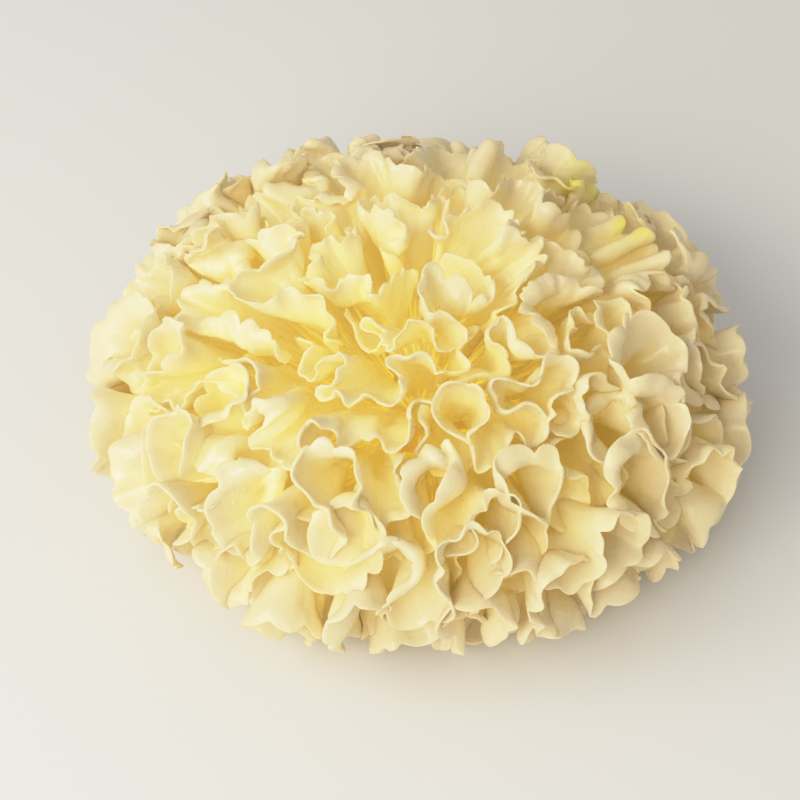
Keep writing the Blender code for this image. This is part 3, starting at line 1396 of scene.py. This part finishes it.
@dataclass
class Base:
    """The dense foot that every frond grows from: a lumpy dome with folds down its side and a flat cut."""

    finish: BaseFlesh
    cut_radius: float = 26 * MM
    radius: float = 30 * MM
    shoulder: float = 6 * MM
    rise: float = 16 * MM
    edge_round: float = 0.8 * MM
    turns: int = 200
    arc_lines: int = 34
    side_lines: int = 10
    edge_lines: int = 4
    cut_lines: int = 22
    fold_depth: float = 0.8 * MM
    fold_counts: tuple[int, ...] = (31, 15, 11, 5)
    fold_twist: float = 90.0
    fold_sizes: Span = (0.4, 1.0)
    fold_end: float = 0.5
    lump_height: float = 0.21 * MM
    cut_hollow: float = 0.25 * MM
    hollow_count: int = 9
    hollow_twist: float = 260.0
    hollow_radii: Span = (0.97, 0.80)
    seed: int = 3

    def _profile(self) -> Grid:
        """Draws the outline from the top's middle, over the side and a rounded edge, to the cut's middle.

        Returns:
            The radius and height of each point.
        """
        arc = np.linspace(math.pi / 2, 0, self.arc_lines, endpoint=False)
        dome = np.stack((self.radius * np.cos(arc), self.shoulder + self.rise * np.sin(arc)), axis=1)
        low, high = (self.cut_radius, self.edge_round), (self.radius, self.shoulder)
        side = np.linspace(high, low, self.side_lines, endpoint=False)
        turn = np.linspace(0, math.pi / 2, self.edge_lines, endpoint=False)
        inset = self.edge_round * (1 - np.cos(turn))
        edge = np.stack((self.cut_radius - inset, self.edge_round * (1 - np.sin(turn))), axis=1)
        inward = np.linspace(self.cut_radius - self.edge_round, 0, self.cut_lines)
        return np.concatenate((dome, side, edge, np.stack((inward, 0 * inward), axis=1)))

    def _waves(self, turn: Grid, height: Grid) -> Grid:
        """Works out the folds and lumps round the base, from about -1 to 1.

        Args:
            turn: Angles about the upright axis.
            height: Heights of the rings of points.

        Returns:
            The wave at each height and turn.
        """
        random = np.random.default_rng(self.seed)
        return sum(
            random.uniform(*self.fold_sizes) * np.sin(
                count * turn + random.uniform(0, math.tau) + self.fold_twist * height * random.normal())
            for count in self.fold_counts
        ) / 2

    def build(self) -> bpy.types.Object:
        """Makes the base.

        Returns:
            The piece.
        """
        profile = self._profile()
        ring = profile[1:-1]
        turn = np.linspace(0, math.tau, self.turns, endpoint=False)[None, :]
        height, radius = ring[:, 1:2], ring[:, :1]
        waves = self._waves(turn, height)
        side = ease(0, self.shoulder, height) * ease(0, self.radius * self.fold_end, radius)
        across = radius * (1 + (self.fold_depth * waves * side + self.lump_height * waves) / self.radius)
        on_cut = (height < SMALL).astype(float)
        ripple = 0.5 + 0.5 * np.sin(self.hollow_count * turn + self.hollow_twist * radius)
        start, full = (self.cut_radius * share for share in self.hollow_radii)
        up = height + self.cut_hollow * on_cut * ripple * ease(start, full, radius)
        body = np.stack((across * np.cos(turn), across * np.sin(turn), up), axis=-1).reshape(-1, 3)
        top, bottom = (0, 0, profile[0, 1]), (0, 0, 0)
        vertices = np.concatenate((body, (top, bottom)))
        rows, columns = len(ring), self.turns
        number = np.arange(rows * columns).reshape(rows, columns)
        after = np.roll(number, -1, axis=1)
        quads = np.stack((number[:-1], number[1:], after[1:], after[:-1]), axis=-1).reshape(-1, 4)
        mesh = bpy.data.meshes.new("base_flesh")
        top_number, bottom_number = rows * columns, rows * columns + 1
        caps = [(top_number, a, b) for a, b in zip(number[0].tolist(), after[0].tolist())]
        caps += [(bottom_number, b, a) for a, b in zip(number[-1].tolist(), after[-1].tolist())]
        mesh.from_pydata(vertices.tolist(), [], quads.tolist() + caps)
        mesh.shade_smooth()
        fold = mesh.attributes.new(VertexValue.FOLD.value, "FLOAT", "POINT")
        fold.data.foreach_set("value", np.concatenate((waves.ravel(), (0, 0))).astype(np.float32))
        piece = add_object("base_flesh", mesh)
        mesh.materials.append(self.finish.material())
        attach(piece, BODY)
        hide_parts("base")
        return piece


@dataclass
class Crumbs:
    """Small crumbs that cling to the base just above the cut."""

    finish: CrumbBrown
    radius: float = 0.55 * MM
    spacing: float = 2.6 * MM
    lowest: float = 0.9 * MM
    highest: float = 5.0 * MM
    roughness: float = 0.5 * MM
    grain_scale: float = 1500.0
    most_per_area: float = 400000.0
    chance: float = 0.6
    smallest: Triple = (0.3, 0.3, 0.25)
    largest: Triple = (1.2, 1.0, 0.8)
    seed: int = 8

    def _tree(self) -> NodeTree:
        """Makes the nodes that scatter crumbs over a low band of a mesh. The sizes are its named inputs.

        Returns:
            The tree.
        """
        nodes = NodeTree(bpy.data.node_groups.new("crumbs", "GeometryNodeTree"))
        face = nodes.tree.interface
        face.new_socket("Geometry", in_out="INPUT", socket_type="NodeSocketGeometry")
        for name in ("Radius", "Spacing", "Lowest", "Highest", "Roughness"):
            face.new_socket(name, in_out="INPUT", socket_type="NodeSocketFloat")
        face.new_socket("Seed", in_out="INPUT", socket_type="NodeSocketInt")
        face.new_socket("Material", in_out="INPUT", socket_type="NodeSocketMaterial")
        face.new_socket("Geometry", in_out="OUTPUT", socket_type="NodeSocketGeometry")
        given = nodes.node("NodeGroupInput").outputs
        place = nodes.node("GeometryNodeInputPosition").outputs["Position"]
        height = nodes.node("ShaderNodeSeparateXYZ", None, Vector=place).outputs["Z"]
        over = nodes.node("FunctionNodeCompare", {"operation": "GREATER_THAN"}, A=height, B=given["Lowest"])
        under = nodes.node("FunctionNodeCompare", {"operation": "LESS_THAN"}, A=height, B=given["Highest"])
        both = {"n0": over.outputs["Result"], "n1": under.outputs["Result"]}
        band = nodes.node("FunctionNodeBooleanMath", {"operation": "AND"}, **both)
        points = nodes.node(
            "GeometryNodeDistributePointsOnFaces",
            {"distribute_method": "POISSON"},
            Mesh=given["Geometry"],
            Selection=band.outputs["Boolean"],
            Distance_Min=given["Spacing"],
            Density_Max=self.most_per_area,
            Density_Factor=self.chance,
            Seed=given["Seed"],
        )
        crumb = nodes.node("GeometryNodeMeshIcoSphere", None, Radius=given["Radius"], Subdivisions=2)
        vector = {"data_type": "FLOAT_VECTOR"}
        turn, size = (
            nodes.node("FunctionNodeRandomValue", vector, n0=low, n1=high, Seed=given["Seed"])
            for low, high in (((0, 0, 0), (math.tau,) * 3), (self.smallest, self.largest))
        )
        placed = nodes.node(
            "GeometryNodeInstanceOnPoints",
            None,
            Points=points.outputs["Points"],
            Instance=crumb.outputs["Mesh"],
            Rotation=turn.outputs["Value"],
            Scale=size.outputs["Value"],
        )
        real = nodes.node("GeometryNodeRealizeInstances", None, Geometry=placed.outputs["Instances"])
        noise = nodes.node("ShaderNodeTexNoise", None, Scale=self.grain_scale, Detail=2.0).outputs["Color"]
        shift = nodes.node("ShaderNodeVectorMath", {"operation": "SUBTRACT"}, n0=noise, n1=(0.5, 0.5, 0.5))
        shift = shift.outputs["Vector"]
        jag = nodes.node("ShaderNodeVectorMath", {"operation": "SCALE"}, n0=shift, Scale=given["Roughness"])
        rough = real.outputs["Geometry"]
        rough = nodes.node("GeometryNodeSetPosition", None, Geometry=rough, Offset=jag.outputs["Vector"])
        rough = rough.outputs["Geometry"]
        dressed = nodes.node("GeometryNodeSetMaterial", None, Geometry=rough, Material=given["Material"])
        nodes.node("NodeGroupOutput", None, Geometry=dressed.outputs["Geometry"])
        return nodes

    def build(self, base: bpy.types.Object) -> bpy.types.Object:
        """Scatters the crumbs over the base.

        Args:
            base: The piece that they cling to.

        Returns:
            The piece.
        """
        holder = add_object("crumbs_tree", base.data.copy())
        modifier = holder.modifiers.new("crumbs", "NODES")
        modifier.node_group = self._tree().tree
        values = {
            "Radius": self.radius,
            "Spacing": self.spacing,
            "Lowest": self.lowest,
            "Highest": self.highest,
            "Roughness": self.roughness,
            "Seed": self.seed,
            "Material": self.finish.material(),
        }
        for item in modifier.node_group.interface.items_tree:
            if item.in_out == "INPUT" and item.name in values:
                modifier[item.identifier] = values[item.name]
        evaluated = holder.evaluated_get(bpy.context.evaluated_depsgraph_get())
        mesh = bpy.data.meshes.new_from_object(evaluated)
        mesh.name = "crumbs"
        bpy.data.objects.remove(holder, do_unlink=True)
        mesh.materials.clear()
        mesh.materials.append(values["Material"])
        piece = add_object("crumbs", mesh)
        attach(piece, BODY)
        return piece


@dataclass
class Canopy:
    """How deep each point lies below the outermost flesh around it."""

    dome: Dome
    depth_size: float = 78 * MM
    reach: int = 2
    blur: int = 3

    def depths(self, skins: list[Grid]) -> list[Grid]:
        """Works out the depths.

        Args:
            skins: Every frond's vertices.

        Returns:
            The depth of each vertex of each frond.
        """
        dome_map = DomeMap(self.dome)
        places = [dome_map.locate(skin)[1:] for skin in skins]
        top = np.zeros((dome_map.cells, dome_map.cells))
        for out, place in places:
            cell = np.round(place).astype(int)
            np.maximum.at(top, (cell[:, 0], cell[:, 1]), out)
        for _ in range(self.reach):
            for axis in (0, 1):
                top = np.maximum(top, np.maximum(np.roll(top, 1, axis), np.roll(top, -1, axis)))
        top = dome_map.blur(top, self.blur)
        return [(dome_map.read(top, place) - out) * self.depth_size for out, place in places]


@dataclass
class Fronds:
    """All the main fronds, each in place of its solid."""

    dome: Dome
    skin: FrondSkin
    finish: FrondFlesh
    quick_steps: int = 60

    def build(self) -> list[bpy.types.Object]:
        """Grows the sheets and makes one piece for each frond.

        Returns:
            The pieces.
        """
        sheets = FrondSheets(self.dome)
        growth = FrondGrowth(sheets)
        points = growth.grow()
        skins = [self.skin.build(sheets, points, number) for number in range(len(sheets.names))]
        depths = Canopy(self.dome).depths([vertices for vertices, _, _ in skins])
        material = self.finish.material()
        pieces = []
        for name, (vertices, faces, values), depth in zip(sheets.names, skins, depths):
            piece = make_mesh(f"{name}_flesh", vertices, faces, values | {VertexValue.DEPTH: depth / MM})
            piece.data.materials.append(material)
            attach(piece, BODY)
            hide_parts(name)
            pieces.append(piece)
        return pieces


@dataclass(frozen=True)
class Lamp:
    """A soft square light that looks at the fungus: its place, the side of its square, and its watts."""

    name: str
    place: Triple
    size: float
    power: float


@dataclass
class Studio:
    """A plain pale floor, soft lights and the camera at the photograph's angle."""

    floor_size: float = 6.0
    floor_colour: Colour = (0.86, 0.86, 0.85, 1)
    floor_roughness: float = 0.9
    sky_colour: Colour = (1.0, 0.99, 0.97, 1)
    sky_strength: float = 0.485
    lamps: tuple[Lamp, ...] = (
        Lamp("key", (-0.66, -0.16, 0.55), 0.50, 3.1),
        Lamp("front", (-0.40, -0.65, 0.45), 0.55, 5.3),
    )
    lamp_colour: Triple = (1.0, 0.92, 0.76)
    elevation: float = math.radians(45)
    distance: float = 0.505
    lens: float = 85
    aim: Triple = (0, 0, 0.022)
    shift_x: float = -0.0245
    shift_y: float = -0.021
    bounces: int = 4
    brightest: float = 1.6
    shoulder: tuple[Span, ...] = (
        (0.25, 0.25), (0.50, 0.50), (0.80, 0.735), (1.10, 0.85), (1.6, 0.93),
    )

    def build(self) -> None:
        """Builds the floor, the lights, the sky and the camera."""
        scene = bpy.context.scene
        scene.view_settings.view_transform = "Standard"
        self._soften_highlights(scene.view_settings)
        scene.cycles.max_bounces = scene.cycles.diffuse_bounces = self.bounces
        half = self.floor_size / 2
        corners = np.array(((-half, -half, 0), (half, -half, 0), (half, half, 0), (-half, half, 0)))
        floor = make_mesh("floor", corners, np.array(((0, 1, 2, 3),)), {})
        shader = Shader("floor")
        sockets = {"Base_Color": self.floor_colour, "Roughness": self.floor_roughness}
        matt = shader.node("ShaderNodeBsdfPrincipled", None, **sockets)
        floor.data.materials.append(shader.finish(matt))
        world = bpy.data.worlds.new("sky")
        world.use_nodes = True
        sky = world.node_tree.nodes["Background"].inputs
        sky["Color"].default_value, sky["Strength"].default_value = self.sky_colour, self.sky_strength
        scene.world = world
        for lamp in self.lamps:
            self._light(lamp)
        self._stand_camera(scene)

    def _stand_camera(self, scene: bpy.types.Scene) -> None:
        """Stands the camera at the photograph's angle, looking at the fungus.

        Args:
            scene: The scene that it shows.
        """
        camera = add_object("camera", bpy.data.cameras.new("camera"))
        back = Vector((0, -math.cos(self.elevation), math.sin(self.elevation)))
        camera.location = Vector(self.aim) + back * self.distance
        camera.rotation_euler = (math.pi / 2 - self.elevation, 0, 0)
        camera.data.lens = self.lens
        camera.data.shift_x, camera.data.shift_y = self.shift_x, self.shift_y
        scene.camera = camera

    def _soften_highlights(self, view: bpy.types.ColorManagedViewSettings) -> None:
        """Gives the camera a soft shoulder, which keeps colour in the brightest flesh.

        Args:
            view: The settings that the picture is shown with.
        """
        view.use_curve_mapping = True
        mapping = view.curve_mapping
        mapping.white_level = (self.brightest,) * 3
        curve = mapping.curves[3]
        for light, shown in self.shoulder[:-1]:
            curve.points.new(light / self.brightest, shown)
        curve.points[len(curve.points) - 1].location = (1, self.shoulder[-1][1])
        mapping.update()

    def _light(self, lamp: Lamp) -> None:
        """Adds a soft light that looks at the fungus.

        Args:
            lamp: The light.
        """
        light = bpy.data.lights.new(lamp.name, "AREA")
        light.size, light.energy, light.color = lamp.size, lamp.power, self.lamp_colour
        holder = add_object(lamp.name, light)
        holder.location = lamp.place
        holder.rotation_euler = (Vector(self.aim) - Vector(lamp.place)).to_track_quat("-Z", "Y").to_euler()


def main() -> None:
    """Builds the fronds and the studio."""
    logging.basicConfig(level=logging.INFO, format="%(name)s: %(message)s")
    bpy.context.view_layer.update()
    base = Base(BaseFlesh()).build()
    crumbs = Crumbs(CrumbBrown()).build(base)
    for piece in (base, crumbs, *Fronds(Dome(), FrondSkin(), FrondFlesh()).build()):
        LOG.info("%s: %d vertices", piece.name, len(piece.data.vertices))
    Studio().build()


if __name__ == "__main__":
    main()
